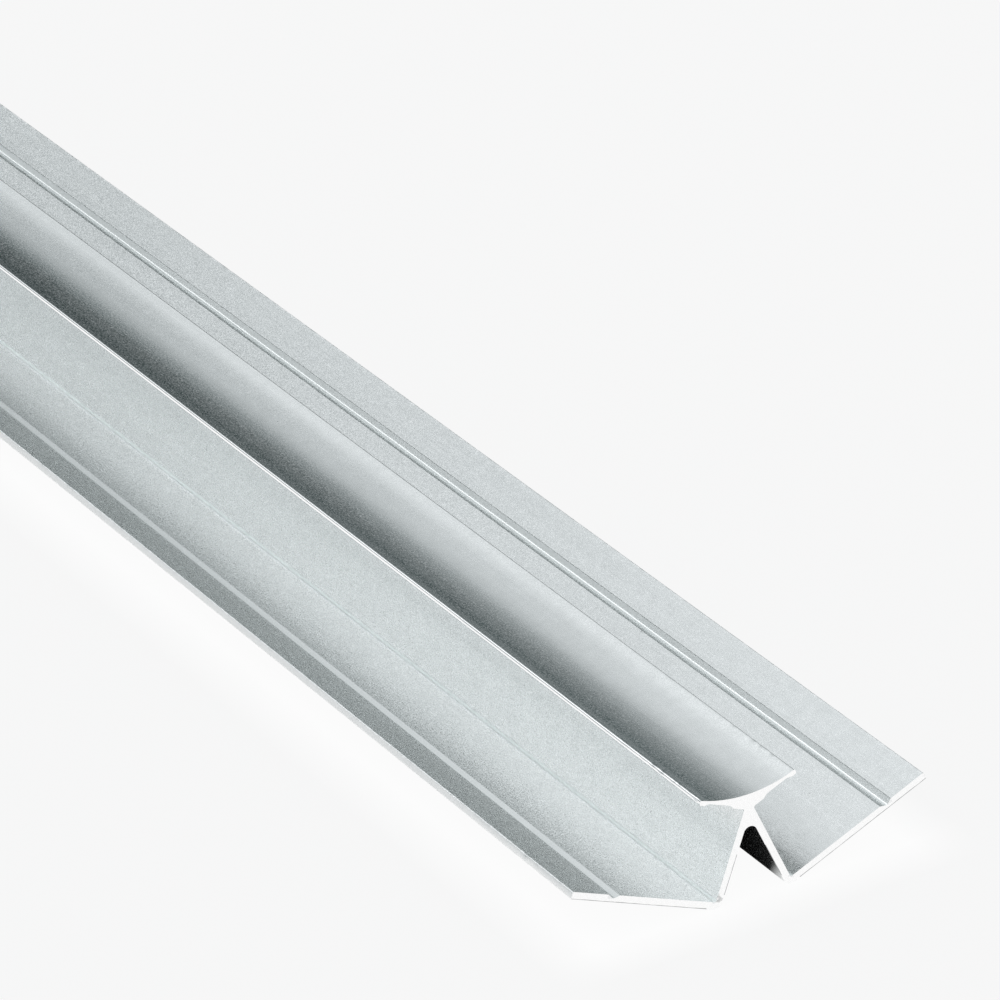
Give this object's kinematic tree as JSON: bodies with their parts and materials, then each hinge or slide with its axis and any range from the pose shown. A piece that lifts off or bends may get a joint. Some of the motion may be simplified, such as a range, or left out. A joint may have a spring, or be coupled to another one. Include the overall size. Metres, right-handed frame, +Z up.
{
  "type": "aluminium extrusion profile",
  "caption": "Anodised aluminium corner profile for wall panels: splayed screw flanges, converging legs and a concave cap that covers the panel edges at an obtuse inside corner.",
  "frame": {"origin": "on the floor under the middle of the bar, between the feet", "axes": "+X along the bar, +Y across it towards one flange, +Z up out of the cove"},
  "size_m": [2.45, 0.0472, 0.0144],
  "materials": {
    "anodised_aluminium": "satin anodised, fine grain, faint die lines along the length"
  },
  "bodies": {
    "root": {"corner_profile": "anodised_aluminium"}
  },
  "joints": []
}
